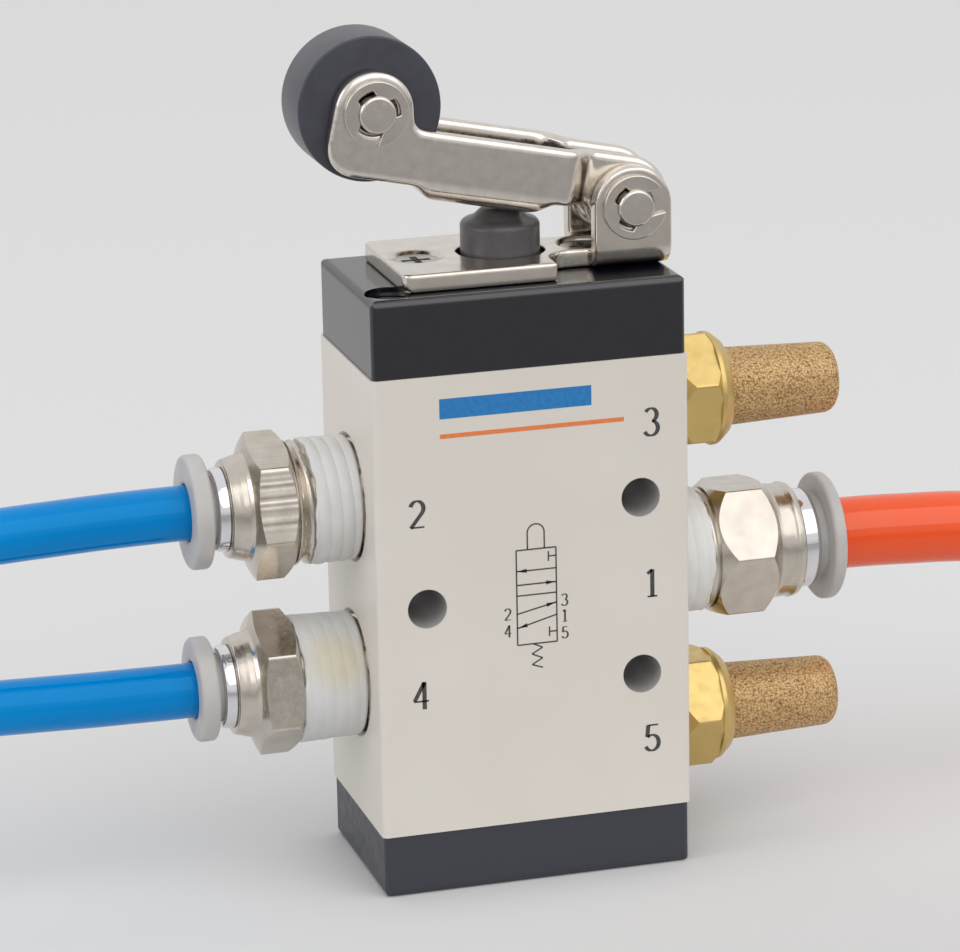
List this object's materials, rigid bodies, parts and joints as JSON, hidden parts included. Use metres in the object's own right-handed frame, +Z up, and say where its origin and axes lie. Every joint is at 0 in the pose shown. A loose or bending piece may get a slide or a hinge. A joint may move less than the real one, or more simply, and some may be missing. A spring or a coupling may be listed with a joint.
{
  "type": "roller lever air valve",
  "caption": "Upright block valve for compressed air, switched by a sprung plunger under a roller lever, with push-in tube fittings on its sides and porous silencers.",
  "frame": {"origin": "centre of the flat underside of the bottom cap, on the spool axis", "axes": "+Z up along the spool towards the lever, +X out of the supply port, -Y out of the front face"},
  "size_m": [0.1708, 0.022, 0.0933],
  "materials": {
    "ivory_paint": "ivory stoved paint on aluminium",
    "black_gloss": "gloss",
    "slate_satin": "satin",
    "seal_rubber": "matte",
    "screw_steel": "zinc plated",
    "spool_alloy": "fine turned",
    "spring_steel": "drawn wire",
    "grey_plastic": "fine moulded",
    "bush_bronze": "turned",
    "nickel_sheet": "nickel plated",
    "pin_steel": "ground",
    "black_plastic": "satin",
    "plated_brass": "nickel plated",
    "yellow_brass": "turned",
    "white_sealant": "dull",
    "bright_chrome": "polished",
    "pale_plastic": "satin",
    "sintered_bronze": "porous",
    "blue_tube": "smooth",
    "orange_tube": "smooth"
  },
  "bodies": {
    "housing": {"valve_body": "ivory_paint", "top_cap": "black_gloss", "bottom_cap": "slate_satin", "end_seals": "seal_rubber", "cap_screws": "screw_steel", "return_spring": "spring_steel", "plunger_bush": "bush_bronze", "plunger_seal": "seal_rubber", "lever_bracket": "nickel_sheet", "bracket_screws": "screw_steel", "pivot_pin": "pin_steel", "pivot_rings": "pin_steel", "upper_fitting_body": "plated_brass", "upper_fitting_sealant": "white_sealant", "upper_fitting_guide": "bright_chrome", "upper_fitting_collet": "spring_steel", "upper_fitting_seal": "seal_rubber", "lower_fitting_body": "plated_brass", "lower_fitting_sealant": "white_sealant", "lower_fitting_guide": "bright_chrome", "lower_fitting_collet": "spring_steel", "lower_fitting_seal": "seal_rubber", "supply_fitting_body": "plated_brass", "supply_fitting_sealant": "white_sealant", "supply_fitting_guide": "bright_chrome", "supply_fitting_collet": "spring_steel", "supply_fitting_seal": "seal_rubber", "upper_silencer_body": "yellow_brass", "upper_silencer_element": "sintered_bronze", "lower_silencer_body": "yellow_brass", "lower_silencer_element": "sintered_bronze", "upper_tube": "blue_tube", "lower_tube": "blue_tube", "supply_tube": "orange_tube"},
    "lever": {"lever": "nickel_sheet", "roller_pin": "pin_steel", "roller_rings": "pin_steel"},
    "roller": {"roller": "black_plastic"},
    "spool": {"spool": "spool_alloy", "spool_seals": "seal_rubber", "plunger": "grey_plastic"},
    "upper_collar": {"upper_fitting_collar": "pale_plastic"},
    "lower_collar": {"lower_fitting_collar": "pale_plastic"},
    "supply_collar": {"supply_fitting_collar": "pale_plastic"}
  },
  "joints": [
    {"name": "lever_hinge", "type": "hinge", "parent": "housing", "child": "lever", "pos_m": [0.0132, 0, 0.0733], "axis": [0, -1, 0], "range_deg": [0, 17.5], "stiffness_Nm_per_rad": 0.06, "springref_deg": -20.05},
    {"name": "roller_spin", "type": "hinge", "parent": "lever", "child": "roller", "pos_m": [-0.01497, 0, 0.08553], "axis": [0, 1, 0], "continuous": true},
    {"name": "spool_slide", "type": "slide", "parent": "housing", "child": "spool", "axis": [0, 0, -1], "range_m": [0, 0.0036], "stiffness_N_per_m": 10, "springref_m": -0.009, "deforming": ["return_spring"]},
    {"name": "upper_collar_slide", "type": "slide", "parent": "housing", "child": "upper_collar", "axis": [1, 0, 0], "range_m": [0, 0.0007], "stiffness_N_per_m": 800, "springref_m": -0.001},
    {"name": "lower_collar_slide", "type": "slide", "parent": "housing", "child": "lower_collar", "axis": [1, 0, 0], "range_m": [0, 0.0007], "stiffness_N_per_m": 800, "springref_m": -0.001},
    {"name": "supply_collar_slide", "type": "slide", "parent": "housing", "child": "supply_collar", "axis": [-1, 0, 0], "range_m": [0, 0.0007], "stiffness_N_per_m": 800, "springref_m": -0.001}
  ],
  "couplings": [
    {"joint": "lever_hinge", "follows": "spool_slide", "rad_per_m": 78.125}
  ]
}
